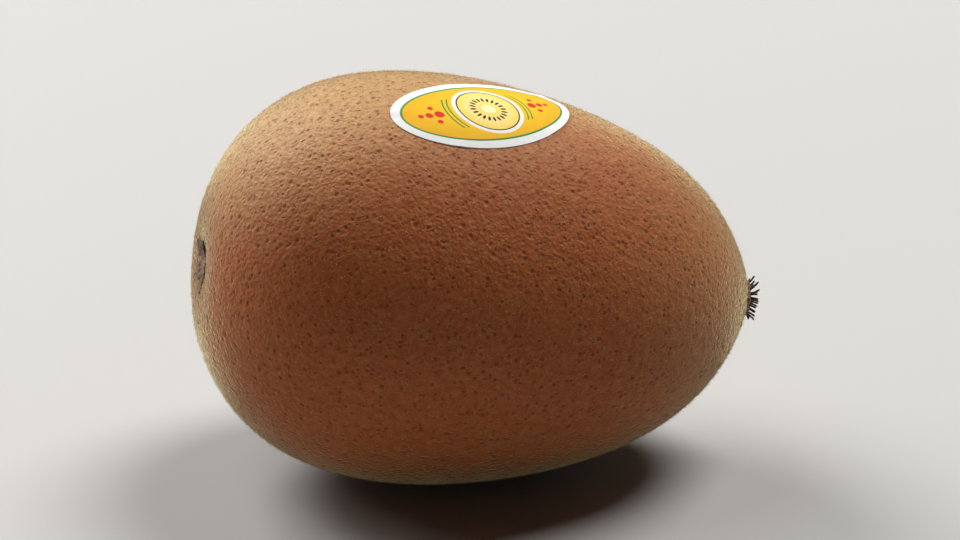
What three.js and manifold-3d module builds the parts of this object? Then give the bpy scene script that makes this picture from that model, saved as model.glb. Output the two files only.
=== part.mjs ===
// A golden kiwi fruit, picked and lying on its side, with the small oval paper label that packers put on it.
// Millimetres, +Z up. The core runs along X, with the stem end at -X and the blossom end at +X, which dips
// a little, as the fruit's own weight makes it lie. The origin is on the ground, below the middle of the fruit.
//
// A place on the skin is given by two angles. theta runs along the fruit, from 0 at the stem end to PI at the
// blossom end. phi runs round the core, from 0 at -Y, over the top at PI / 2, to PI at +Y.

import * as THREE from 'three';
import { mergeVertices } from 'three/addons/utils/BufferGeometryUtils.js';
import Module from 'manifold-3d';

const degrees = THREE.MathUtils.degToRad;

// The body: an oval that is fuller at the stem end, slightly wider than it is high, and not quite even.
const CORE_LENGTH = 70;
const GIRTH_RADIUS = 25.24;
const STEM_FULLNESS = 0.167; // how much fuller the stem half is than the blossom half
const END_FULLNESS = 0.142; // how much fuller both ends are than an ellipsoid's
const WIDTH_RATIO = 1.04;
const SWELLS = [
  { turns: 2, size: 0.14, at: 0.9, twist: 0.8 },
  { turns: 3, size: 0.18, at: 2.2, twist: -1.1 },
  { turns: 5, size: 0.09, at: 0.4, twist: 0.6 },
];
const SKIN_DETAIL = 17; // each edge of an icosahedron is split into one more than this

// The ends: the skin sinks round the stalk's scar and rises to a blunt nub where the flower was.
const STEM_HOLLOW = { depth: 1.5, radius: 4.5 };
const BLOSSOM_NUB = { height: 0.9, radius: 6 };

// How it rests: on a small flat spot that its weight has pressed, right below its centre of mass.
const REST_TILT = degrees(7.62);
const REST_SPOT_DEPTH = 0.35;

// The stalk's scar: a woody ring with a sunken middle, in the hollow of the stem end.
const SCAR = { radius: 1.95, lipRadius: 1.5, pithRadius: 0.8, lipHeight: 0.4, pithHeight: 0.12, root: 3, sides: 20 };

// What is left of five dry sepals, pressed flat round the scar, in the same hollow.
const SEPALS = { count: 5, reach: 2.8, length: 2.1, width: 2.1, height: 0.26, edge: 0.1, root: 0.9 };

// The dried styles: two rings of short stubs that lean out from a low cushion on the blossom end.
const STYLE_CUSHION = { radius: 2.5, height: 0.45, root: 3, sides: 20 };
const STYLE_RINGS = [
  { count: 10, radius: 1.75, lean: degrees(42), length: 1.2 },
  { count: 5, radius: 0.75, lean: degrees(18), length: 1.3 },
];
const STYLE = { rootRadius: 0.36, tipRadius: 0.26, sunk: 1.4, sides: 6, spread: 0.25 };

// The label: a thin oval that follows the skin, turned so that its blossom-side end is further up the fruit. Its
// two ends bow up the fruit.
const LABEL = { length: 25.9, width: 13.5, bow: 1.95, thickness: 0.3, gap: 0.15, rings: 5, spokes: 44 };
const LABEL_CENTRE = { theta: degrees(86.9), phi: degrees(76.2) };
const LABEL_TURN = degrees(23.1);

const SKIN = new THREE.MeshStandardMaterial({ color: 0x9a6238, roughness: 0.72, metalness: 0 });
const PAPER = new THREE.MeshStandardMaterial({ color: 0xf2b024, roughness: 0.45, metalness: 0 });

const wasm = await Module();
wasm.setup();

// ---- Solids ----

function solidOf(geometry) {
  geometry.deleteAttribute('normal');
  geometry.deleteAttribute('uv');
  const merged = mergeVertices(geometry, 1e-3);
  const vertProperties = new Float32Array(merged.attributes.position.array);
  const triVerts = new Uint32Array(merged.index.array);
  return new wasm.Manifold(new wasm.Mesh({ numProp: 3, vertProperties, triVerts }));
}

function geometryOf(solid) {
  const { vertProperties, triVerts } = solid.getMesh();
  const geometry = new THREE.BufferGeometry();
  geometry.setAttribute('position', new THREE.BufferAttribute(vertProperties, 3));
  geometry.setIndex(new THREE.BufferAttribute(triVerts, 1));
  geometry.computeVertexNormals();
  return geometry;
}

// ---- The skin ----

function skinRadius(theta, phi) {
  const u = Math.cos(theta);
  const oval = GIRTH_RADIUS * Math.sin(theta) * (1 + STEM_FULLNESS * u + END_FULLNESS * u * u);
  const waves = SWELLS.map(({ turns, size, at, twist }) => size * Math.cos(turns * phi + at + twist * u));
  return oval + waves.reduce((sum, wave) => sum + wave) * Math.sin(theta) ** 2;
}

function endRelief(u, radius) {
  const [size, reach] = u > 0 ? [STEM_HOLLOW.depth, STEM_HOLLOW.radius] : [BLOSSOM_NUB.height, BLOSSOM_NUB.radius];
  return size * Math.exp(-((radius / reach) ** 2));
}

function skinPoint(theta, phi) {
  const u = Math.cos(theta);
  const radius = skinRadius(theta, phi);
  return new THREE.Vector3(
    (-CORE_LENGTH / 2) * u + endRelief(u, radius),
    -WIDTH_RATIO * radius * Math.cos(phi),
    radius * Math.sin(phi),
  );
}

function skinSlopes(theta, phi, step = 1e-3) {
  const along = skinPoint(theta + step, phi).sub(skinPoint(theta - step, phi));
  const round = skinPoint(theta, phi + step).sub(skinPoint(theta, phi - step));
  return { along: along.divideScalar(2 * step), round: round.divideScalar(2 * step) };
}

// A point `lift` above the skin, `along` the fruit and `across` it from a centre, measured on the skin.
function liftedPoint(centre, along, across, lift) {
  const theta = centre.theta + along / skinSlopes(centre.theta, centre.phi).along.length();
  const phi = centre.phi + across / skinRadius(theta, centre.phi);
  const slopes = skinSlopes(theta, phi);
  const outward = slopes.along.cross(slopes.round).normalize();
  return skinPoint(theta, phi).addScaledVector(outward, lift);
}

// An oval shell that follows the skin. under and over give its two faces' lift, by share from 0 at its middle to 1
// at its edge. bow is how far its two ends are shifted across it.
function skinPatch({ centre, length, width, bow = 0, turn = 0, rings, spokes, under, over }) {
  const points = [];
  const triangles = [];
  const place = (share, angle, lift) => {
    const a = (length / 2) * share * Math.cos(angle);
    const b = (width / 2) * share * Math.sin(angle) + bow * (share * Math.cos(angle)) ** 2;
    const along = a * Math.cos(turn) - b * Math.sin(turn);
    const across = a * Math.sin(turn) + b * Math.cos(turn);
    points.push(...liftedPoint(centre, along, across, lift(share)));
  };
  const layer = (lift) => {
    place(0, 0, lift);
    for (let ring = 1; ring <= rings; ring++) {
      for (let spoke = 0; spoke < spokes; spoke++) place(ring / rings, (2 * Math.PI * spoke) / spokes, lift);
    }
  };
  layer(over);
  layer(under);

  const perLayer = 1 + rings * spokes;
  const at = (side, ring, spoke) => side * perLayer + (ring ? 1 + (ring - 1) * spokes + (spoke % spokes) : 0);
  for (let spoke = 0; spoke < spokes; spoke++) {
    const next = spoke + 1;
    triangles.push(at(0, 0, 0), at(0, 1, spoke), at(0, 1, next));
    triangles.push(at(1, 0, 0), at(1, 1, next), at(1, 1, spoke));
    for (let ring = 1; ring < rings; ring++) {
      const outer = ring + 1;
      triangles.push(at(0, ring, spoke), at(0, outer, spoke), at(0, outer, next));
      triangles.push(at(0, ring, spoke), at(0, outer, next), at(0, ring, next));
      triangles.push(at(1, ring, spoke), at(1, outer, next), at(1, outer, spoke));
      triangles.push(at(1, ring, spoke), at(1, ring, next), at(1, outer, next));
    }
    triangles.push(at(0, rings, spoke), at(1, rings, spoke), at(1, rings, next));
    triangles.push(at(0, rings, spoke), at(1, rings, next), at(0, rings, next));
  }
  const geometry = new THREE.BufferGeometry();
  geometry.setAttribute('position', new THREE.Float32BufferAttribute(points, 3));
  geometry.setIndex(triangles);
  return geometry;
}

// ---- The fruit's parts, round its core ----

function body() {
  const ball = new THREE.IcosahedronGeometry(1, SKIN_DETAIL);
  const shell = mergeVertices(new THREE.BufferGeometry().setAttribute('position', ball.attributes.position), 1e-3);
  const places = shell.attributes.position;
  const way = new THREE.Vector3();
  for (let i = 0; i < places.count; i++) {
    way.fromBufferAttribute(places, i).normalize();
    places.setXYZ(i, ...skinPoint(Math.acos(-way.x), Math.atan2(way.z, -way.y)));
  }
  return solidOf(shell);
}

// Turns a lathed piece, made round +Y, to stand out of the stem end or the blossom end.
function onEnd(geometry, theta) {
  const outward = new THREE.Vector3(-Math.cos(theta), 0, 0);
  const turn = new THREE.Quaternion().setFromUnitVectors(new THREE.Vector3(0, 1, 0), outward);
  const end = skinPoint(theta, 0);
  return geometry.applyQuaternion(turn).translate(end.x, 0, 0);
}

function lathed(profile, sides) {
  return new THREE.LatheGeometry(profile.map(([radius, height]) => new THREE.Vector2(radius, height)), sides);
}

function stalkScar() {
  const { radius, lipRadius, pithRadius, lipHeight, pithHeight, root, sides } = SCAR;
  const profile = [[0, -root], [radius, -root], [radius, 0.5 * lipHeight], [lipRadius, lipHeight]];
  profile.push([pithRadius, pithHeight], [0, pithHeight]);
  return solidOf(onEnd(lathed(profile, sides), 0));
}

function sepals() {
  const { count, reach, length, width, height, edge, root } = SEPALS;
  const theta = reach / skinSlopes(degrees(5), 0).along.length();
  return Array.from({ length: count }, (_, i) => {
    const centre = { theta, phi: (2 * Math.PI * i) / count };
    const over = (share) => height + (edge - height) * share ** 2;
    return solidOf(skinPatch({ centre, length, width, rings: 3, spokes: 12, under: () => -root, over }));
  });
}

function styleCushion() {
  const { radius, height, root, sides } = STYLE_CUSHION;
  const profile = [[0, -root], [radius, -root], [radius, 0], [0.6 * radius, height], [0, 0.7 * height]];
  return solidOf(onEnd(lathed(profile, sides), Math.PI));
}

function styles() {
  const { rootRadius, tipRadius, sunk, sides, spread } = STYLE;
  const vary = (size) => size * (1 + spread * (2 * THREE.MathUtils.seededRandom() - 1));
  THREE.MathUtils.seededRandom(7);
  return STYLE_RINGS.flatMap(({ count, radius, lean, length }) =>
    Array.from({ length: count }, (_, i) => {
      const reach = vary(length);
      const stub = new THREE.CylinderGeometry(tipRadius, rootRadius, reach + sunk, sides);
      stub.translate(0, (reach - sunk) / 2 + STYLE_CUSHION.height, 0);
      stub.rotateZ(-vary(lean)).translate(radius, 0, 0);
      stub.rotateY((2 * Math.PI * (i + spread * THREE.MathUtils.seededRandom())) / count);
      return solidOf(onEnd(stub, Math.PI));
    }),
  );
}

function label() {
  const { thickness, gap, ...shape } = LABEL;
  const faces = { under: () => gap, over: () => gap + thickness };
  return skinPatch({ centre: LABEL_CENTRE, turn: LABEL_TURN, ...shape, ...faces });
}

// ---- The fruit, laid to rest ----

const whole = [stalkScar(), ...sepals(), styleCushion(), ...styles()].reduce((fruit, part) => fruit.add(part), body());

const laid = geometryOf(whole).rotateY(REST_TILT);
laid.computeBoundingBox();
const coreHeight = -laid.boundingBox.min.z - REST_SPOT_DEPTH;
laid.translate(0, 0, coreHeight);

const ground = new THREE.BoxGeometry(CORE_LENGTH, CORE_LENGTH, 10).translate(0, 0, -5);
const fruitMesh = new THREE.Mesh(geometryOf(solidOf(laid).subtract(solidOf(ground))), SKIN);
fruitMesh.name = 'fruit';

const labelMesh = new THREE.Mesh(label().rotateY(REST_TILT).translate(0, 0, coreHeight), PAPER);
labelMesh.name = 'label';

const kiwi = new THREE.Group();
kiwi.name = 'golden_kiwi';
kiwi.add(fruitMesh, labelMesh);
const middle = new THREE.Box3().setFromObject(kiwi).getCenter(new THREE.Vector3());
kiwi.position.set(-middle.x, -middle.y, 0);

export default kiwi;
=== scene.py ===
import math

import bmesh
import bpy
import numpy as np
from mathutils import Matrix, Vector


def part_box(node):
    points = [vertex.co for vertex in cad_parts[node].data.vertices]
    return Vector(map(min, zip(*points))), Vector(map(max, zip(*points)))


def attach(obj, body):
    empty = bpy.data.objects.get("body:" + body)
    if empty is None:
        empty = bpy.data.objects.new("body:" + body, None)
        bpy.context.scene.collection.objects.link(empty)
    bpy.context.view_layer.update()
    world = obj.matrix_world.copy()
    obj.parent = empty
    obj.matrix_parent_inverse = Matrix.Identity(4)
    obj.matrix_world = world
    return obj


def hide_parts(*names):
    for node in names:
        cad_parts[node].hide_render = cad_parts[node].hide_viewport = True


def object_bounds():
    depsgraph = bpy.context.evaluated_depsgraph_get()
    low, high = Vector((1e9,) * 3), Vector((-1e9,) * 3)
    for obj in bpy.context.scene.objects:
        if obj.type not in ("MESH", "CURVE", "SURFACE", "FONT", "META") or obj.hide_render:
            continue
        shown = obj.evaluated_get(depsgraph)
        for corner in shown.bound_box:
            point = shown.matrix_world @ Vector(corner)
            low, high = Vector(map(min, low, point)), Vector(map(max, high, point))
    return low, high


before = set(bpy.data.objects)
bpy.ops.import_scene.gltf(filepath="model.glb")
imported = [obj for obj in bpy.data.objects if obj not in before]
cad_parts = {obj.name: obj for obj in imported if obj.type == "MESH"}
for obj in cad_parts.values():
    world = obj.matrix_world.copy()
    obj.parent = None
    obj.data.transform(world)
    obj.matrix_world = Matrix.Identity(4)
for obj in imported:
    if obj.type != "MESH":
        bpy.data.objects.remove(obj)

cad_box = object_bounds()

# ---- Skin ----
# The fruit's whole outside: one dry, thin skin, fuller at the stem end than at the blossom end. It grew as
# one piece with the flesh, so it is one closed mesh. Its pebbled grain and its sunken pores are raised from
# the surface, and the same pattern colours them. Its colours also hold painted light and shade: paler lit
# copies on the upper side, redder copies on the front's lower side and darker copies on the back.

MM = 0.001
CORE_LENGTH = 70
GIRTH_RADIUS = 25.24
STEM_FULLNESS = 0.167
END_FULLNESS = 0.142
WIDTH_RATIO = 1.04
SWELLS = ((2, 0.14, 0.9, 0.8), (3, 0.18, 2.2, -1.1), (5, 0.09, 0.4, 0.6))  # turns, size, start, twist
STEM_HOLLOW = (1.5, 4.5)  # depth, radius
BLOSSOM_NUB = (0.9, 6.0)  # height, radius
REST_TILT = math.radians(7.62)
REST_SPOT_DEPTH = 0.35
SKIN_CUTS = 127  # in each edge of the cube that the skin's mesh is blown up from

SUNK = 0.12  # how far the even skin lies inside the frame's box, so that its grain stays inside it
SWAY_GAP = 0.9  # how far apart the waves lie that push pits and pebbles out of their even rows
PIT_GAP, PIT_SWAY = 0.82, 0.5
PIT_RADII = (0.16, 0.42)
PIT_DEPTH = 0.055
PIT_BRIM = 0.015
PIT_WALL, BRIM_INSIDE, BRIM_OUTSIDE = (1.0, 0.2), (0.7, 1.1), (1.8, 1.2)  # shares of a pit's radius
LUMP_GAP, LUMP_HEIGHT = 1.1, 0.15
DIMPLE_GAP, DIMPLE_HEIGHT = 7.0, 0.10
PEBBLE_GAP, PEBBLE_SWAY, PEBBLE_HEIGHT = 0.5, 0.4, 0.065
PEBBLE_SIDE = (0.75, 0.1)  # from a pebble's foot to its top
GRAIN_GAP, GRAIN_HEIGHT = 0.2, 0.03
PUCKERS, PUCKER_HEIGHT = 26, 0.09
PUCKER_SWAY_GAP, PUCKER_SWAY = 5.0, 9
PUCKERS_BEGIN, PUCKERS_FADE = (1.5, 3.5), (9.0, 4.0)  # distances from the fruit's end
DRY_END = (13.0, 2.0)  # distances from the fruit's end at which its brown begins and is full

PATCH_GAP, PATCH_REACH = 14, 8  # soft patches, which blur the edges of the painted light and shade
PAINTED_LIGHT_WAY, PAINTED_LIGHT_RANGE = (-0.18, 0.42, 0.89), (33, 54)  # painted light: the upper side, leaning back and a little left, is paler, and below it stays redder as painted shade
PAINTED_SHADE_WAY, PAINTED_SHADE_RANGE = (0, 1, -0.4), (-12, 14)  # painted shade: the back, where the lamps fall hardest, is darker and duller
PAINTED_SHADE_WANDER = 2  # and the painted shade's edge wanders this many times as far
TIP_LIGHT_WAY, PAINTED_TIP_LIGHT_RANGE, PAINTED_TIP_LIGHT_SHARE = (1, 0, 0), (14, 40), 0.5  # and the blossom end takes some of the painted light, so it is a little paler
MOTTLE_GAP, MOTTLE_EDGE, MOTTLE_SHARE = 0.9, (0.38, 0.72), 0.55  # fine light and dark blotches
END_SHARE, PIT_SHARE = 0.8, 0.75  # how much of their own brown the ends and the pits take

# Painted light and shade: the first two colours are the redder copies painted on the front's lower side as
# shade, the next two the paler lit copies on the upper side, and the two after them the darker copies
# painted on the back. In each pair the first is the mottle's dark and the second its light.
SHADED_UMBER = (0.340, 0.080, 0.019, 1)
SHADED_TAN = (0.44, 0.156, 0.045, 1)
LIT_BRONZE = (0.41, 0.222, 0.087, 1)
LIT_STRAW = (0.53, 0.320, 0.144, 1)
BACK_SHADED_OLIVE = (0.195, 0.083, 0.031, 1)
BACK_SHADED_SAND = (0.280, 0.142, 0.060, 1)
PIT_BROWN = (0.15, 0.030, 0.009, 1)
END_BROWN = (0.20, 0.082, 0.036, 1)


def skin_radius(theta, phi):
    """The skin's distance from the core, before it is widened. theta is 0 at the stem end, phi at -Y."""
    u = np.cos(theta)
    oval = GIRTH_RADIUS * np.sin(theta) * (1 + STEM_FULLNESS * u + END_FULLNESS * u * u)
    swells = sum(size * np.cos(turns * phi + start + twist * u) for turns, size, start, twist in SWELLS)
    return oval + swells * np.sin(theta) ** 2


def skin_point(theta, phi):
    """Points of the skin, in millimetres from the middle of the core, which lies along X."""
    u, radius = np.cos(theta), skin_radius(theta, phi)
    hollow, nub = (size * np.exp(-((radius / reach) ** 2)) for size, reach in (STEM_HOLLOW, BLOSSOM_NUB))
    x = -CORE_LENGTH / 2 * u + np.where(u > 0, hollow, nub)
    return np.stack([x, -WIDTH_RATIO * radius * np.cos(phi), radius * np.sin(phi)], axis=-1)


STEM_END, BLOSSOM_END = (skin_point(np.array(theta), np.array(0.0)) for theta in (0.0, math.pi))


def ball_directions(cuts):
    """A cube's mesh in even quads, and each vertex's direction once it is blown up to a ball."""
    ball = bmesh.new()
    bmesh.ops.create_cube(ball, size=2)
    bmesh.ops.subdivide_edges(ball, edges=ball.edges, cuts=cuts, use_grid_fill=True)
    mesh = bpy.data.meshes.new("skin")
    ball.to_mesh(mesh)
    ball.free()
    places = np.empty(len(mesh.vertices) * 3)
    mesh.vertices.foreach_get("co", places)
    ways = np.tan(places.reshape(-1, 3) * math.pi / 4)
    return mesh, ways / np.linalg.norm(ways, axis=1, keepdims=True)


skin_mesh, ways = ball_directions(SKIN_CUTS)
core_points = skin_point(np.arccos(-ways[:, 0]), np.arctan2(ways[:, 2], -ways[:, 1]))

# The fruit lies with its blossom end dipped and its flat spot on the ground, and it fills the frame's box.
lie = np.array([
    [math.cos(REST_TILT), 0, math.sin(REST_TILT)],
    [0, 1, 0],
    [-math.sin(REST_TILT), 0, math.cos(REST_TILT)],
])
turned = core_points @ lie.T
lowest, highest = (np.array(corner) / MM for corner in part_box("fruit"))
core_place = np.array([
    lowest[0] - turned[:, 0].min(),
    (lowest[1] + highest[1] - turned[:, 1].min() - turned[:, 1].max()) / 2,
    lowest[2] - turned[:, 2].min() - REST_SPOT_DEPTH,
])


def laid(points):
    """Points round the core, in millimetres, as they lie in the row's frame, in metres."""
    return (points @ lie.T + core_place) * MM


def show(mesh):
    """A smooth piece of the fruit with this mesh."""
    mesh.shade_smooth()
    piece = bpy.data.objects.new(mesh.name, mesh)
    bpy.context.scene.collection.objects.link(piece)
    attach(piece, "root")
    return piece


class Wire:
    """A socket of a node tree. Sums on wires add Math nodes, and node() adds any other node."""

    def __init__(self, tree, socket=None):
        self.tree, self.socket = tree, socket

    def node(self, kind, settings=None, sockets=None):
        made = self.tree.nodes.new(kind)
        for name, value in (settings or {}).items():
            setattr(made, name, value)
        for name, value in (sockets or {}).items():
            if isinstance(value, Wire):
                self.tree.links.new(value.socket, made.inputs[name])
            else:
                made.inputs[name].default_value = value
        return Wire(self.tree, made.outputs[0] if made.outputs else None)

    def out(self, name):
        return Wire(self.tree, self.socket.node.outputs[name])

    def math(self, operation, *values):
        return self.node("ShaderNodeMath", {"operation": operation}, dict(enumerate((self, *values))))

    def vector(self, operation, *values):
        return self.node("ShaderNodeVectorMath", {"operation": operation}, dict(enumerate((self, *values))))

    def __add__(self, other):
        return self.math("ADD", other)

    def __sub__(self, other):
        return self.math("SUBTRACT", other)

    def __rsub__(self, other):
        return self.node("ShaderNodeMath", {"operation": "SUBTRACT"}, {0: other, 1: self})

    def __mul__(self, other):
        return self.math("MULTIPLY", other)

    def __truediv__(self, other):
        return self.math("DIVIDE", other)

    def __pow__(self, other):
        return self.math("POWER", other)

    def __abs__(self):
        return self.math("ABSOLUTE")

    __radd__, __rmul__ = __add__, __mul__

    def rise(self, low, high):
        """0 below low, 1 above high, and smooth between them. With low above high it falls instead."""
        sockets = {"Value": self, "From Min": low, "From Max": high}
        return self.node("ShaderNodeMapRange", {"interpolation_type": "SMOOTHSTEP"}, sockets)

    def blend(self, first, second):
        """The first colour where this is 0, and the second where it is 1."""
        return self.node("ShaderNodeMix", {"data_type": "RGBA"}, {0: self, 6: first, 7: second}).out(2)

    def scaled(self, factor):
        return self.node("ShaderNodeVectorMath", {"operation": "SCALE"}, {"Vector": self, "Scale": factor})

    def along(self, way):
        """How far this place lies in a direction."""
        return self.vector("DOT_PRODUCT", way).out("Value")

    def noise(self, gap, detail=2.0, roughness=0.5):
        """Noise at this place, whose lumps lie about a gap apart. Its colour is three noises in one."""
        return self.node("ShaderNodeTexNoise", {}, {
            "Vector": self, "Scale": 1 / gap, "Detail": detail, "Roughness": roughness,
        })

    def cells(self, gap, feature="F1"):
        return self.node("ShaderNodeTexVoronoi", {"feature": feature}, {"Vector": self, "Scale": 1 / gap})

    def shifted(self, gap, reach):
        """This place, moved about by noise."""
        sway = self.noise(gap).out("Color").vector("SUBTRACT", (0.5, 0.5, 0.5))
        return self.vector("ADD", sway.scaled(reach))


def pits(place):
    """1 in the middle of a pit and 0 on the skin round it, and the brim. Each pit has a size of its own."""
    found = place.shifted(SWAY_GAP, PIT_SWAY).cells(PIT_GAP)
    chance = found.node("ShaderNodeSeparateXYZ", {}, {0: found.out("Color")})
    share = found * PIT_GAP / (chance * (PIT_RADII[1] - PIT_RADII[0]) + PIT_RADII[0])
    return share.rise(*PIT_WALL), share.rise(*BRIM_INSIDE) * share.rise(*BRIM_OUTSIDE)


def ends(place):
    """1 at each end of the fruit and 0 from a finger's width away, and the puckers that gather there."""
    near, puckers = 0, 0
    for pole in (STEM_END, BLOSSOM_END):
        end = tuple(laid(pole) / MM)
        apart = place.vector("SUBTRACT", end)
        distance = place.vector("DISTANCE", end).out("Value")
        turn = apart.along(tuple(lie[:, 2])).math("ARCTAN2", apart.along(tuple(lie[:, 1])))
        turn = turn * PUCKERS + place.noise(PUCKER_SWAY_GAP) * PUCKER_SWAY
        folds = turn.math("COSINE") * distance.rise(*PUCKERS_BEGIN) * distance.rise(*PUCKERS_FADE)
        puckers = folds + puckers
        near = distance.rise(*DRY_END) + near
    return near, puckers


def skin_height(place):
    """How far the skin stands out at this place, in millimetres."""
    lumps = (place.noise(LUMP_GAP, 2.0) - 0.5) * LUMP_HEIGHT
    dimples = (place.noise(DIMPLE_GAP, 1.0) - 0.5) * DIMPLE_HEIGHT
    puckers = ends(place)[1] * PUCKER_HEIGHT
    sunk = pits(place)[0] * PIT_DEPTH
    return lumps + dimples + puckers - sunk - SUNK


def raise_skin(piece):
    """Keeps each vertex's place as the attribute grown, in millimetres, and moves it by skin_height."""
    tree = bpy.data.node_groups.new("raise_skin", "GeometryNodeTree")
    for direction in ("INPUT", "OUTPUT"):
        tree.interface.new_socket("Geometry", in_out=direction, socket_type="NodeSocketGeometry")
    start = Wire(tree).node("NodeGroupInput")
    place = start.node("GeometryNodeInputPosition").scaled(1 / MM)
    kept = start.node(
        "GeometryNodeStoreNamedAttribute",
        {"data_type": "FLOAT_VECTOR", "domain": "POINT"},
        {"Geometry": start, "Name": "grown", "Value": place},
    )
    grown = start.node("GeometryNodeInputNamedAttribute", {"data_type": "FLOAT_VECTOR"}, {"Name": "grown"})
    offset = start.node("GeometryNodeInputNormal").scaled(skin_height(grown) * MM)
    moved = start.node("GeometryNodeSetPosition", {}, {"Geometry": kept, "Offset": offset})
    start.node("NodeGroupOutput", {}, {"Geometry": moved})

    piece.modifiers.new("raise_skin", "NODES").node_group = tree
    seen = piece.evaluated_get(bpy.context.evaluated_depsgraph_get())
    raised = bpy.data.meshes.new_from_object(seen)
    piece.modifiers.clear()
    piece.data = raised


def new_material(name):
    material = bpy.data.materials.new(name)
    material.use_nodes = True
    material.node_tree.nodes.clear()
    return material, Wire(material.node_tree)


def surface(start, sockets, heights=None):
    """Ends a material with its shader. heights, in millimetres, bend the light on it."""
    if heights is not None:
        sockets["Normal"] = start.node("ShaderNodeBump", {}, {"Height": heights, "Distance": MM})
    shader = start.node("ShaderNodeBsdfPrincipled", {}, sockets)
    start.node("ShaderNodeOutputMaterial", {}, {"Surface": shader})


def skin_material():
    material, start = new_material("bronze_skin")
    place = start.node("ShaderNodeAttribute", {"attribute_name": "grown"}).out("Vector")
    # Painted light and shade: paler lit copies towards the upper side and the blossom end, redder copies on
    # the front's lower side, and darker copies on the back.
    patches = place.noise(PATCH_GAP, 3) * PATCH_REACH
    # the painted light that the blossom end takes, so that it is a little paler
    tip = (place.along(TIP_LIGHT_WAY) + patches).rise(*PAINTED_TIP_LIGHT_RANGE)
    painted_light = (place.along(PAINTED_LIGHT_WAY) + patches).rise(*PAINTED_LIGHT_RANGE) + tip * PAINTED_TIP_LIGHT_SHARE
    # painted shade on the back, where the lamps fall hardest
    painted_back_shade = (place.along(PAINTED_SHADE_WAY) + patches * PAINTED_SHADE_WANDER).rise(*PAINTED_SHADE_RANGE)
    mottle = place.noise(MOTTLE_GAP, 3, 0.6).rise(*MOTTLE_EDGE)
    grain = place.noise(GRAIN_GAP, 3, 0.6)
    pebbles = place.shifted(SWAY_GAP, PEBBLE_SWAY).cells(PEBBLE_GAP, "SMOOTH_F1").rise(*PEBBLE_SIDE)
    sunk, brim = pits(place)
    # The mottle's dark and light, each in painted shade on the front's lower side, painted light on the
    # upper side and painted shade on the back.
    dark = painted_back_shade.blend(painted_light.blend(SHADED_UMBER, LIT_BRONZE), BACK_SHADED_OLIVE)
    light = painted_back_shade.blend(painted_light.blend(SHADED_TAN, LIT_STRAW), BACK_SHADED_SAND)
    colour = (mottle * MOTTLE_SHARE).blend(dark, light)
    colour = (ends(place)[0] * END_SHARE).blend(colour, END_BROWN)
    colour = (sunk * PIT_SHARE).blend(colour, PIT_BROWN)
    surface(start, {
        "Base Color": colour,
        "Roughness": grain * 0.2 + sunk * 0.1 + 0.5,
        "Specular IOR Level": 0.2,
        "Sheen Weight": 1.0, "Sheen Roughness": 0.3, "Sheen Tint": (1.0, 0.95, 0.55, 1),
    }, grain * GRAIN_HEIGHT + pebbles * PEBBLE_HEIGHT - sunk * PIT_DEPTH + brim * PIT_BRIM)
    return material


skin_mesh.vertices.foreach_set("co", laid(core_points).ravel())
skin = show(skin_mesh)
raise_skin(skin)
places = np.empty((len(skin.data.vertices), 3))
skin.data.vertices.foreach_get("co", places.ravel())
places[:, 2] = np.maximum(places[:, 2], 0)  # the flat spot that it rests on
skin.data.vertices.foreach_set("co", places.ravel())
skin.data.update()
skin.data.materials.append(skin_material())
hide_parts("fruit")

# ---- Label ----
# The packer's label: a small printed oval of coated paper, stuck on the skin, which it follows with a few
# small tucks at its edge. It has no lettering: a white rim round a golden field, with a cut fruit in the
# middle, and green arcs and red dots on both sides of it.

LABEL_SIZE = (25.9, 13.5)
LABEL_BOW = 1.95  # how far its two ends bow up the fruit
LABEL_CENTRE = (math.radians(86.9), math.radians(76.2))  # theta, phi
LABEL_TURN = math.radians(23.1)
LABEL_LIFT = (-0.2, 0.0)  # its underside and its face, above the skin's even surface
LABEL_RINGS, LABEL_SPOKES = 30, 160
# Each tuck is an angle round the label, a width and a height.
TUCKS = ((0.5, 0.09, 0.10), (1.75, 0.07, 0.07), (2.9, 0.11, 0.12), (4.15, 0.06, 0.07), (5.3, 0.1, 0.1))
TUCK_FROM = 0.62  # share of the label's radius

RIM_WIDTH = 1.15
LINE_WIDTH = 0.28
FIELD_FADE = 2.0  # how far from the middle the golden field begins to deepen
ROUNDEL, ROUNDEL_RIM, ROUNDEL_SKIN = 4.1, 0.5, 0.18
ROUNDEL_CORE = 0.95
RAYS, RAY_SHARE, RAYS_BEGIN, RAYS_FADE = 34, 0.7, (1.0, 1.8), (3.9, 2.6)
SEED_RING, SEEDS, SEED_REACH, SEED_EDGE = 2.05, 20, (0.17, 0.42), (1.15, 0.85)
ARC_RADIUS, ARC_GAP, ARC_WIDTH, ARC_REACH = 5.5, 0.28, 0.2, 2.9  # two thin lines at each side of the roundel
# Each dot is a place beside and above the middle, and a radius. It is printed at both sides.
DOTS = ((6.9, 0.0, 0.62), (8.25, 0.0, 0.48), (9.35, 0.0, 0.36), (7.45, 1.35, 0.36), (7.45, -1.35, 0.36))
INK_EDGE, INK_GAPS = 0.09, 0.06  # the blur of a printed edge, and how much the fibres show through the ink
PAPER_FIBRE_GAP, PAPER_FIBRE_RELIEF = 0.35, 0.012
RUMPLE_GAP, RUMPLE_RELIEF = 1.3, 0.05
PAPER_CORNER = math.radians(40)  # the label is sharp where it bends by more than this, and smooth elsewhere

PAPER_WHITE = (0.74, 0.74, 0.73, 1)
GOLD = (0.76, 0.48, 0.006, 1)
DEEP_GOLD = (0.74, 0.37, 0.004, 1)
LEAF_GREEN = (0.02, 0.22, 0.045, 1)
BERRY_RED = (0.60, 0.022, 0.01, 1)
FLESH = (0.80, 0.58, 0.11, 1)
PALE_FLESH = (0.82, 0.72, 0.40, 1)
SEED_BROWN = (0.05, 0.018, 0.008, 1)


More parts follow.
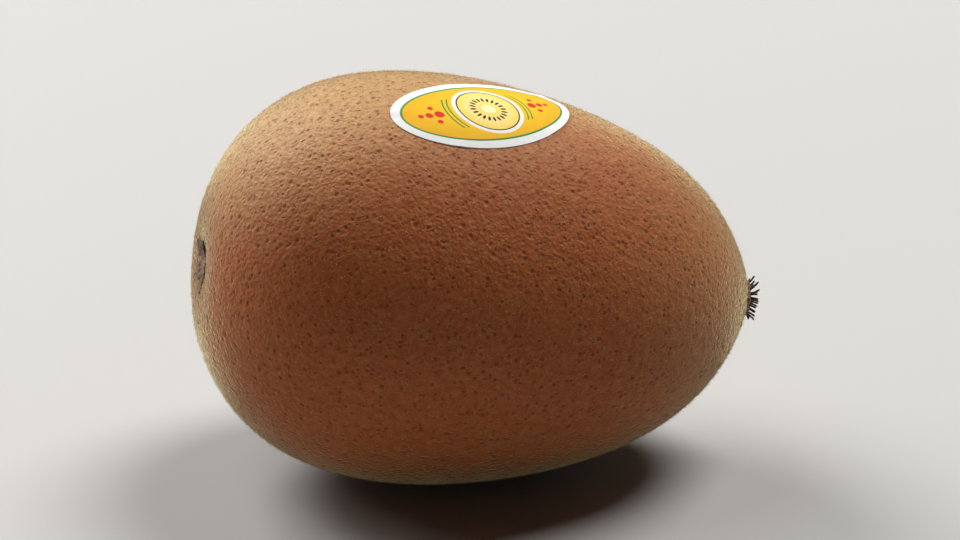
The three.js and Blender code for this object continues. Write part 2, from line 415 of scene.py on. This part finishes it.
def skin_slopes(theta, phi, step=1e-3):
    along = (skin_point(theta + step, phi) - skin_point(theta - step, phi)) / (2 * step)
    round_core = (skin_point(theta, phi + step) - skin_point(theta, phi - step)) / (2 * step)
    return along, round_core


def lifted(centre, along, across, lift):
    """Points lift above the skin, along the fruit and across it from a centre, all in millimetres."""
    theta = centre[0] + along / np.linalg.norm(skin_slopes(*centre)[0])
    phi = centre[1] + across / skin_radius(theta, centre[1])
    outward = np.cross(*skin_slopes(theta, phi))
    outward /= np.linalg.norm(outward, axis=-1, keepdims=True)
    return skin_point(theta, phi) + outward * np.asarray(lift)[..., None]


def disc(rings, spokes):
    """Shares of the radius and angles of a disc's points: its middle first, and then ring by ring."""
    shares = np.concatenate([[0], np.repeat(np.arange(1, rings + 1) / rings, spokes)])
    angles = np.concatenate([[0], np.tile(np.arange(spokes) * 2 * math.pi / spokes, rings)])
    return shares, angles


def disc_faces(rings, spokes, start=0):
    """The faces of a closed mesh between an upper and an under disc, whose points begin at start."""
    def at(side, ring, spoke):
        middle = start + side * (1 + rings * spokes)
        return middle + 1 + (ring - 1) * spokes + spoke % spokes if ring else middle

    faces = []
    for spoke in range(spokes):
        faces.append((at(0, 0, 0), at(0, 1, spoke), at(0, 1, spoke + 1)))
        faces.append((at(1, 0, 0), at(1, 1, spoke + 1), at(1, 1, spoke)))
        for ring in range(1, rings):
            around = ((ring, spoke), (ring + 1, spoke), (ring + 1, spoke + 1), (ring, spoke + 1))
            faces.append([at(0, *corner) for corner in around])
            faces.append([at(1, *corner) for corner in reversed(around)])
        edge = ((0, spoke), (1, spoke), (1, spoke + 1), (0, spoke + 1))
        faces.append([at(side, rings, corner) for side, corner in edge])
    return faces


def mesh_of(name, points, faces):
    mesh = bpy.data.meshes.new(name)
    mesh.from_pydata(points.tolist(), [], faces)
    return mesh


def label_mesh():
    shares, angles = disc(LABEL_RINGS, LABEL_SPOKES)
    a = LABEL_SIZE[0] / 2 * shares * np.cos(angles)
    b = LABEL_SIZE[1] / 2 * shares * np.sin(angles)
    bowed = b + LABEL_BOW * (shares * np.cos(angles)) ** 2
    along = a * math.cos(LABEL_TURN) - bowed * math.sin(LABEL_TURN)
    across = a * math.sin(LABEL_TURN) + bowed * math.cos(LABEL_TURN)
    outer = np.clip((shares - TUCK_FROM) / (1 - TUCK_FROM), 0, 1) ** 2
    aside = [(angles - at + math.pi) % (2 * math.pi) - math.pi for at, _, _ in TUCKS]
    tucks = outer * sum(high * np.exp(-((away / wide) ** 2)) for away, (_, wide, high) in zip(aside, TUCKS))
    under, upper = (lifted(LABEL_CENTRE, along, across, lift + tucks) for lift in LABEL_LIFT)
    faces = disc_faces(LABEL_RINGS, LABEL_SPOKES)
    mesh = mesh_of("paper_label", laid(np.concatenate([upper, under])), faces)
    plan = mesh.attributes.new("plan", "FLOAT_VECTOR", "POINT")
    plan.data.foreach_set("vector", np.tile(np.stack([a, b, 0 * a], axis=-1), (2, 1)).ravel())
    return mesh


def within(wire, reach):
    """1 where a distance is inside reach, with a printed edge."""
    return wire.rise(reach + INK_EDGE / 2, reach - INK_EDGE / 2)


def label_material():
    material, start = new_material("label_print")
    plan = start.node("ShaderNodeAttribute", {"attribute_name": "plan"}).out("Vector")
    a = start.node("ShaderNodeSeparateXYZ", {}, {0: plan})
    b = a.out("Y")

    def oval(inset):
        """Distance from the middle, as a share of an oval that lies inset from the label's edge."""
        across, up = LABEL_SIZE[0] / 2 - inset, LABEL_SIZE[1] / 2 - inset
        return ((a / across) ** 2 + (b / up) ** 2) ** 0.5 * up

    field = within(oval(RIM_WIDTH), LABEL_SIZE[1] / 2 - RIM_WIDTH)
    inner = RIM_WIDTH + LINE_WIDTH
    golden = within(oval(inner), LABEL_SIZE[1] / 2 - inner)
    shade = oval(0).rise(FIELD_FADE, LABEL_SIZE[1] / 2)
    colour = field.blend(PAPER_WHITE, LEAF_GREEN)
    colour = golden.blend(colour, shade.blend(GOLD, DEEP_GOLD))

    for x, y, size in DOTS:
        colour = within(((abs(a) - x) ** 2 + (b - y) ** 2) ** 0.5, size).blend(colour, BERRY_RED)

    radius = (a ** 2 + b ** 2) ** 0.5
    turn = b.math("ARCTAN2", a)
    arcs = within(abs(abs(radius - ARC_RADIUS) - ARC_GAP), ARC_WIDTH / 2) * within(abs(b), ARC_REACH)
    colour = arcs.blend(colour, LEAF_GREEN)
    colour = within(radius, ROUNDEL + ROUNDEL_RIM).blend(colour, PAPER_WHITE)
    colour = within(radius, ROUNDEL).blend(colour, SEED_BROWN)
    colour = within(radius, ROUNDEL - ROUNDEL_SKIN).blend(colour, FLESH)
    rays = (turn * RAYS).math("COSINE") * 0.5 + 0.5
    rays = rays * radius.rise(*RAYS_BEGIN) * radius.rise(*RAYS_FADE)
    colour = (rays * RAY_SHARE).blend(colour, PALE_FLESH)
    spread = (turn * SEEDS / (2 * math.pi)).math("FRACT") - 0.5
    aside = spread * radius * (2 * math.pi / SEEDS)
    seed = ((aside / SEED_REACH[0]) ** 2 + ((radius - SEED_RING) / SEED_REACH[1]) ** 2) ** 0.5
    colour = seed.rise(*SEED_EDGE).blend(colour, SEED_BROWN)
    colour = within(radius, ROUNDEL_CORE).blend(colour, PALE_FLESH)

    fibres = plan.noise(PAPER_FIBRE_GAP, 3)
    surface(start, {
        "Base Color": (fibres * INK_GAPS).blend(colour, PAPER_WHITE),
        "Roughness": fibres * 0.15 + 0.55,
        "Specular IOR Level": 0.03,
    }, fibres * PAPER_FIBRE_RELIEF + plan.noise(RUMPLE_GAP, 1) * RUMPLE_RELIEF)
    return material


label = show(label_mesh())
label.data.set_sharp_from_angle(angle=PAPER_CORNER)
label.data.materials.append(label_material())
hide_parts("label")

# ---- Fuzz ----
# Fine short hairs all over the skin. Brushing in the packhouse has thinned them and laid them along the
# fruit. They show most as a soft glow at its edges, and none grow under the label and at the two ends.

HAIRS = 45000
HAIR_LENGTHS = (0.22, 0.6)
HAIR_RADIUS = 0.026
HAIR_ROOT = 0.05
HAIR_LEAN = (35, 75)  # degrees from straight out
HAIR_SPREAD = 70  # degrees from along the fruit
HAIR_SIDES = 3
HAIR_SCATTER = 0.15  # how far a hair may stand from the middle of its face of the skin
BARE_ENDS, BARE_GROUND = 2.8, 0.3  # distances from each end and from the ground where no hair grows
BARE_LABEL = 1.02  # share of the label, with its very edge
HAIR_PATCH_GAP, HAIR_PATCHES = 0.8, (0.35, 0.65)  # small patches of golden and of brown hairs

HAIR_GOLD = (0.64, 0.47, 0.24, 1)
HAIR_BROWN = (0.36, 0.20, 0.08, 1)


def unit(vectors):
    return vectors / np.linalg.norm(vectors, axis=-1, keepdims=True)


def label_share(places):
    """How far places on the skin lie from the label's middle: 1 at its edge, and more outside it."""
    core = (places - core_place) @ lie
    theta = np.arccos(np.clip(-core[:, 0] * 2 / CORE_LENGTH, -1, 1))
    phi = np.arctan2(core[:, 2], -core[:, 1] / WIDTH_RATIO)
    along = (theta - LABEL_CENTRE[0]) * np.linalg.norm(skin_slopes(*LABEL_CENTRE)[0])
    across = (phi - LABEL_CENTRE[1]) * skin_radius(theta, LABEL_CENTRE[1])
    a = along * math.cos(LABEL_TURN) + across * math.sin(LABEL_TURN)
    bowed = across * math.cos(LABEL_TURN) - along * math.sin(LABEL_TURN)
    b = bowed - LABEL_BOW * (a * 2 / LABEL_SIZE[0]) ** 2
    return np.hypot(a * 2 / LABEL_SIZE[0], b * 2 / LABEL_SIZE[1])


def fuzz_mesh():
    chance = np.random.default_rng(3)
    faces = skin.data.polygons
    middles, outward = np.empty((len(faces), 3)), np.empty((len(faces), 3))
    faces.foreach_get("center", middles.ravel())
    faces.foreach_get("normal", outward.ravel())
    middles /= MM
    poles = (laid(pole) / MM for pole in (STEM_END, BLOSSOM_END))
    bare = [np.linalg.norm(middles - pole, axis=1) < BARE_ENDS for pole in poles]
    bare.append(label_share(middles) < BARE_LABEL)
    bare.append(middles[:, 2] <= BARE_GROUND)
    picked = chance.choice(np.flatnonzero(~np.any(bare, axis=0)), HAIRS, replace=False)
    root, out = middles[picked], unit(outward[picked])
    along = unit(lie[:, 0] - (out @ lie[:, 0])[:, None] * out)
    across = np.cross(out, along)
    turn = np.radians(chance.uniform(-HAIR_SPREAD, HAIR_SPREAD, (HAIRS, 1)))
    lean = np.radians(chance.uniform(*HAIR_LEAN, (HAIRS, 1)))
    ahead = out * np.cos(lean) + (along * np.cos(turn) + across * np.sin(turn)) * np.sin(lean)
    side = unit(np.cross(ahead, out))
    up = np.cross(side, ahead)
    scatter = along * chance.uniform(-HAIR_SCATTER, HAIR_SCATTER, (HAIRS, 1))
    scatter += across * chance.uniform(-HAIR_SCATTER, HAIR_SCATTER, (HAIRS, 1))
    root += scatter
    tip = root + ahead * chance.uniform(*HAIR_LENGTHS, (HAIRS, 1))
    tip = np.clip(tip, lowest, highest)
    angles = np.arange(HAIR_SIDES) * 2 * math.pi / HAIR_SIDES
    foot = [root - out * HAIR_ROOT + HAIR_RADIUS * (side * math.cos(angle) + up * math.sin(angle))
            for angle in angles]
    points = np.stack([*foot, tip], axis=1).reshape(-1, 3) * MM
    start = np.arange(HAIRS)[:, None] * (HAIR_SIDES + 1)
    corners = np.array([(0, 1, 3), (1, 2, 3), (2, 0, 3), (2, 1, 0)])
    mesh = bpy.data.meshes.new("fuzz")
    mesh.from_pydata(points.tolist(), [], (start[:, None] + corners).reshape(-1, 3).tolist())
    return mesh


def fuzz_material():
    material, start = new_material("fuzz")
    place = start.node("ShaderNodeTexCoord").out("Object").scaled(1 / MM)
    surface(start, {
        "Base Color": place.noise(HAIR_PATCH_GAP, 2).rise(*HAIR_PATCHES).blend(HAIR_BROWN, HAIR_GOLD),
        "Roughness": place.noise(3.0) * 0.2 + 0.4,
        "Specular IOR Level": 0.4,
    })
    return material


fuzz = show(fuzz_mesh())
fuzz.data.materials.append(fuzz_material())

# ---- Stalk scar and sepals ----
# Where the fruit broke from its stalk: a small round woody scar with a broken lip and a sunken pith, in the
# hollow of the stem end. What is left of five dry brown sepals lies round it in the same hollow. They grew
# on the fruit, and curl up a little where they are free.

SCAR_RADIUS, SCAR_ROOT = 2.0, 1.2
SCAR_PROFILE = ((0, 0.08), (0.3, 0.03), (0.5, 0.12), (0.76, 0.3), (0.9, 0.2), (1, -0.3))  # share, height
SCAR_EDGE_WAVES = ((0.05, 2, 1.3), (0.03, 5, 0))  # size, turns, start
LIP_SHARE, LIP_SPREAD = 0.74, 0.2
LIP_WAVES = ((0.07, 1, 0), (0.05, 3, 0.7), (0.04, 5, 2.0))
FIBRES, FIBRE_HEIGHT = 23, 0.045
SCAR_RINGS, SCAR_SPOKES = 22, 96
SEPALS, SEPAL_REACH, SEPAL_SIZE = 5, 2.75, (2.3, 2.1)
SEPAL_SPREAD = ((0.85, 0.8, -0.15, 0.2), (1.15, 1.1, 0.15, 0.45))  # least, most: length, width, turn, curl
SEPAL_THICKNESS, SEPAL_LIFT = 0.14, 0.08
SEPAL_TAPER = 0.4  # how much narrower its tip is
SEPAL_TEARS = ((0.07, 9, 5), (0.05, 14, 1))  # size, turns, and how the start differs from sepal to sepal
SEPAL_RIBS, SEPAL_WRINKLES = (0.04, 8), (0.03, 3.5)  # height, and radians of its wave in a millimetre
SEPAL_CUP = 0.2  # how much its sides cup up beside its middle
FREE_RISE, FLAT_PRESS, ROOT_PRESS = 0.05, 0.15, 0.3  # a free sepal rises, and a flat tip and a root sink in
SEPAL_RINGS, SEPAL_SPOKES = 12, 40

CORK = (0.27, 0.148, 0.074, 1)
DARK_CORK = (0.075, 0.038, 0.022, 1)
SEPAL_BROWN = (0.21, 0.103, 0.048, 1)
DARK_SEPAL = (0.07, 0.032, 0.018, 1)
DRY_MIX, DRY_EDGE = (0.7, 0.3), (0.36, 0.62)  # shares of streaks and of speckle, and where dark turns light


def waves(angles, rows):
    """Uneven heights round a circle: a sum of sine waves, each with a size, its turns and its start."""
    return sum(size * np.sin(turns * angles + start) for size, turns, start in rows)


def scar_mesh():
    shares, angles = disc(SCAR_RINGS, SCAR_SPOKES)
    heights = np.interp(shares, *zip(*SCAR_PROFILE))
    ridges = FIBRE_HEIGHT * np.cos(FIBRES * angles + 3 * np.sin(2 * angles))
    lip = np.exp(-(((shares - LIP_SHARE) / LIP_SPREAD) ** 2))
    upper = heights + lip * (waves(angles, LIP_WAVES) + ridges)
    radius = SCAR_RADIUS * shares * (1 + waves(angles, SCAR_EDGE_WAVES))
    sides = [np.stack([STEM_END[0] - high, -radius * np.cos(angles), radius * np.sin(angles)], axis=-1)
             for high in (upper, np.full(len(radius), -SCAR_ROOT))]
    return mesh_of("stalk_scar", laid(np.concatenate(sides)), disc_faces(SCAR_RINGS, SCAR_SPOKES))


def sepal_mesh():
    """All the sepals in one mesh. Each narrows to a ragged tip, which curls up off the skin."""
    shares, angles = disc(SEPAL_RINGS, SEPAL_SPOKES)
    chance = np.random.default_rng(5)
    per_unit = np.linalg.norm(skin_slopes(0.05, 0.0)[0])
    points, faces = [], []
    for i in range(SEPALS):
        length, width, turn, curl = chance.uniform(*SEPAL_SPREAD)
        free = max(0, 0.35 + 0.65 * math.sin(2 * math.pi * i / SEPALS))  # those underneath are pressed flat
        out = shares * np.cos(angles)
        ragged = 1 + waves(angles, [(size, turns, start * i) for size, turns, start in SEPAL_TEARS])
        along = SEPAL_SIZE[0] / 2 * length * out * ragged
        across = SEPAL_SIZE[1] / 2 * width * shares * np.sin(angles) * (1 - SEPAL_TAPER * out) * ragged
        ribs = SEPAL_RIBS[0] * np.cos(across * SEPAL_RIBS[1])
        wrinkles = SEPAL_WRINKLES[0] * np.sin(along * SEPAL_WRINKLES[1] + i)
        curled = curl * out.clip(0) ** 2 + SEPAL_CUP * np.abs(across) ** 1.5 * out.clip(0)
        pressed = FLAT_PRESS * (1 - free) * out.clip(0) + ROOT_PRESS * (-out).clip(0) ** 2
        over = SEPAL_LIFT + ribs + wrinkles + free * (FREE_RISE + curled) - pressed
        centre = (SEPAL_REACH / per_unit, 2 * math.pi * i / SEPALS + turn)
        faces += disc_faces(SEPAL_RINGS, SEPAL_SPOKES, sum(map(len, points)))
        points += [lifted(centre, along, across, lift) for lift in (over, over - SEPAL_THICKNESS)]
    return mesh_of("sepals", laid(np.concatenate(points)), faces)


def dry_material(name, light, dark, gap, height):
    """Dead plant tissue: streaked light and dark, dull and rough."""
    material, start = new_material(name)
    place = start.node("ShaderNodeTexCoord").out("Object").scaled(1 / MM)
    streaks = place.noise(gap, 4, 0.65)
    speckle = place.noise(gap / 4, 2)
    tone = (streaks * DRY_MIX[0] + speckle * DRY_MIX[1]).rise(*DRY_EDGE)
    surface(start, {
        "Base Color": tone.blend(dark, light),
        "Roughness": speckle * 0.3 + 0.6,
        "Specular IOR Level": 0.3,
        "Sheen Weight": 0.15, "Sheen Roughness": 0.5,
    }, (streaks + speckle * 0.5) * height)
    return material


for mesh, name, light, dark in (
    (scar_mesh(), "cork", CORK, DARK_CORK),
    (sepal_mesh(), "dry_sepal", SEPAL_BROWN, DARK_SEPAL),
):
    piece = show(mesh)
    mesh.materials.append(dry_material(name, light, dark, 0.8, 0.08))
    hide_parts("fruit")

# ---- Styles ----
# What is left of the flower, at the blossom end: a low woody cushion with a crown of dried styles. They grew
# there, and are thin, dark, brittle and bent outward, each with a small knob where it broke.

CUSHION_RADIUS, CUSHION_HEIGHT, CUSHION_ROOT = 2.5, 0.4, 1.0
CUSHION_RINGS, CUSHION_SPOKES = 12, 60
CUSHION_LUMPS = ((0.08, 7, 1), (0.06, 11, 0))  # size, turns, start
CUSHION_EDGE_WAVES = ((0.04, 4, 0),)
SHOULDER, EDGE_SINK = 0.3, 0.2  # how much fuller its shoulder is, and how far its edge sinks in
STYLE_RINGS = ((15, 1.8, 62, 1.25), (11, 1.2, 42, 1.45), (6, 0.55, 20, 1.35))  # count, radius, lean, length
STYLE_RADII = (0.17, 0.10)
STYLE_BEND = (0.35, 0.9)  # shares of its lean: at its root, and more of it towards its tip
STYLE_STRAY = (-0.3, 0.3)  # how far it stands off its even place, as a share of the gap
STYLE_TWIST = (-0.3, 0.3)  # how far it bends aside
LENGTH_SPREAD, LEAN_SPREAD, RADIUS_SPREAD = (0.65, 1.15), (0.7, 1.3), (0.85, 1.05)  # times its ring's own
KNOB_SIZE, KNOB_SHARE, KNOB_SPREAD = 0.5, 0.93, 0.07
BROKEN_TIP = 0.6  # share of its thickness that is left where its tip is rounded off
STYLE_STEPS, STYLE_SIDES = 8, 8

STYLE_BROWN = (0.12, 0.058, 0.03, 1)
DARK_STYLE = (0.03, 0.014, 0.008, 1)


def cushion_mesh():
    shares, angles = disc(CUSHION_RINGS, CUSHION_SPOKES)
    dome = CUSHION_HEIGHT * (1 - shares ** 2.5) * (1 + SHOULDER * shares) - EDGE_SINK * shares ** 4
    upper = dome + waves(angles, CUSHION_LUMPS) * shares
    radius = CUSHION_RADIUS * shares * (1 + waves(angles, CUSHION_EDGE_WAVES))
    sides = [np.stack([BLOSSOM_END[0] + high, radius * np.cos(angles), radius * np.sin(angles)], axis=-1)
             for high in (upper, np.full(len(radius), -CUSHION_ROOT))]
    return mesh_of("style_cushion", laid(np.concatenate(sides)), disc_faces(CUSHION_RINGS, CUSHION_SPOKES))


def style_rings(radius, bend, reach, twist):
    """Rings of points along one style. Each point is how far out of the end, off its middle, and aside."""
    around = np.arange(STYLE_SIDES) * 2 * math.pi / STYLE_SIDES
    place = np.array([(CUSHION_HEIGHT - CUSHION_ROOT) / 2, radius, 0.0])
    rings = []
    for step in range(STYLE_STEPS + 1):
        share = step / STYLE_STEPS
        angle = bend * (STYLE_BEND[0] + STYLE_BEND[1] * share)
        ahead = unit(np.array([math.cos(angle), math.sin(angle), twist * share]))
        side = unit(np.cross(ahead, (0, 0, 1)))
        up = np.cross(side, ahead)
        knob = KNOB_SIZE * math.exp(-(((share - KNOB_SHARE) / KNOB_SPREAD) ** 2))
        thick = (STYLE_RADII[0] + (STYLE_RADII[1] - STYLE_RADII[0]) * share) * (1 + knob)
        if step == STYLE_STEPS:
            thick *= BROKEN_TIP
        rings.append(place + thick * (np.outer(np.cos(around), side) + np.outer(np.sin(around), up)))
        place = place + ahead * reach / STYLE_STEPS
    return rings


def style_faces(start):
    """The faces of one style, whose points begin at start."""
    faces = []
    for step in range(STYLE_STEPS):
        ring = start + step * STYLE_SIDES
        for spoke in range(STYLE_SIDES):
            one = ring + spoke
            two = ring + (spoke + 1) % STYLE_SIDES
            faces.append((one, two, two + STYLE_SIDES, one + STYLE_SIDES))
    last = start + STYLE_STEPS * STYLE_SIDES
    faces.append(tuple(reversed(range(start, start + STYLE_SIDES))))
    faces.append(tuple(range(last, last + STYLE_SIDES)))
    return faces


def style_mesh():
    chance = np.random.default_rng(11)
    points, faces = [], []
    for count, radius, lean, length in STYLE_RINGS:
        for i in range(count):
            turn = 2 * math.pi * (i + chance.uniform(*STYLE_STRAY)) / count
            reach = length * chance.uniform(*LENGTH_SPREAD) + CUSHION_ROOT / 2
            bend = math.radians(lean) * chance.uniform(*LEAN_SPREAD)
            twist = chance.uniform(*STYLE_TWIST)
            rings = style_rings(radius * chance.uniform(*RADIUS_SPREAD), bend, reach, twist)
            faces += style_faces(sum(map(len, points)))
            for out, off, aside in (ring.T for ring in rings):
                points.append(np.stack([
                    BLOSSOM_END[0] + out,
                    off * math.cos(turn) - aside * math.sin(turn),
                    off * math.sin(turn) + aside * math.cos(turn),
                ], axis=-1))
    return mesh_of("styles", laid(np.concatenate(points)), faces)


for mesh, name, light, dark in (
    (cushion_mesh(), "dry_cushion", CORK, DARK_CORK),
    (style_mesh(), "dry_style", STYLE_BROWN, DARK_STYLE),
):
    piece = show(mesh)
    mesh.materials.append(dry_material(name, light, dark, 0.6, 0.05))
    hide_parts("fruit")

# ---- Ground, light and camera ----
# A plain pale ground, which bends up far round the fruit as a studio's backdrop does, four soft lamps, and a
# long lens that looks down on the fruit's side. All sizes here are in metres.

FLOOR_RUN, FLOOR_FLAT, FLOOR_CURVE = 1.8, 1.2, 0.6  # its whole run from the middle, its flat part, its bend
FLOOR_THICKNESS = 0.02
FLOOR_RINGS, FLOOR_SPOKES = 50, 120
FLOOR_GREY = (0.43, 0.424, 0.416, 1)
LAMP_DISTANCE, LAMP_SIZE = 1.5, 0.8
LAMP_COLOUR = (1, 0.99, 0.97)
WORLD_COLOUR, WORLD_STRENGTH = (1, 0.99, 0.98, 1), 0.01
CAMERA_OFFSET = Vector((-0.10545, -0.61372, 0.2658))  # from the ground below the core's middle


def floor_material():
    material, start = new_material("pale_floor")
    surface(start, {"Base Color": FLOOR_GREY, "Roughness": 0.55, "Specular IOR Level": 0.3})
    return material


def floor_mesh():
    shares, angles = disc(FLOOR_RINGS, FLOOR_SPOKES)
    run = shares * FLOOR_RUN
    bend = np.maximum(run - FLOOR_FLAT, 0) / FLOOR_CURVE
    radius = np.minimum(run, FLOOR_FLAT) + FLOOR_CURVE * np.sin(bend)
    height = FLOOR_CURVE * (1 - np.cos(bend))
    upper = np.stack([radius * np.cos(angles), radius * np.sin(angles), height], axis=-1)
    points = np.concatenate([upper, upper - (0, 0, FLOOR_THICKNESS)])
    mesh = mesh_of("floor", points, disc_faces(FLOOR_RINGS, FLOOR_SPOKES))
    mesh.shade_smooth()
    return mesh


floor = bpy.data.objects.new("floor", floor_mesh())
floor.data.materials.append(floor_material())
bpy.context.scene.collection.objects.link(floor)

middle = (cad_box[0] + cad_box[1]) / 2


def lamp(name, turn, rise, watts):
    """A round soft lamp. turn is in degrees from -Y towards +X, and rise from the ground."""
    turn, rise = math.radians(turn), math.radians(rise)
    way = Vector((math.sin(turn) * math.cos(rise), -math.cos(turn) * math.cos(rise), math.sin(rise)))
    data = bpy.data.lights.new(name, "AREA")
    data.shape, data.size, data.energy, data.color = "DISK", LAMP_SIZE, watts, LAMP_COLOUR
    made = bpy.data.objects.new(name, data)
    made.location = middle + way * LAMP_DISTANCE
    made.rotation_euler = way.to_track_quat("Z", "Y").to_euler()
    bpy.context.scene.collection.objects.link(made)


lamp("key", 210, 35, 20)
lamp("right", 120, 60, 24)
lamp("left", 240, 35, 6)
lamp("top_left", 240, 60, 5)

world = bpy.data.worlds.new("studio")
world.use_nodes = True
world.node_tree.nodes["Background"].inputs["Color"].default_value = WORLD_COLOUR
world.node_tree.nodes["Background"].inputs["Strength"].default_value = WORLD_STRENGTH
bpy.context.scene.world = world
bpy.context.scene.view_settings.view_transform = "Standard"

camera_data = bpy.data.cameras.new("camera")
camera_data.lens, camera_data.sensor_width = 200, 36
camera_data.clip_start = 0.01
camera = bpy.data.objects.new("camera", camera_data)
camera.location = CAMERA_OFFSET + Vector((*core_place[:2], 0)) * MM
camera.rotation_euler = (middle - camera.location).to_track_quat("-Z", "Y").to_euler()
bpy.context.scene.collection.objects.link(camera)
bpy.context.scene.camera = camera
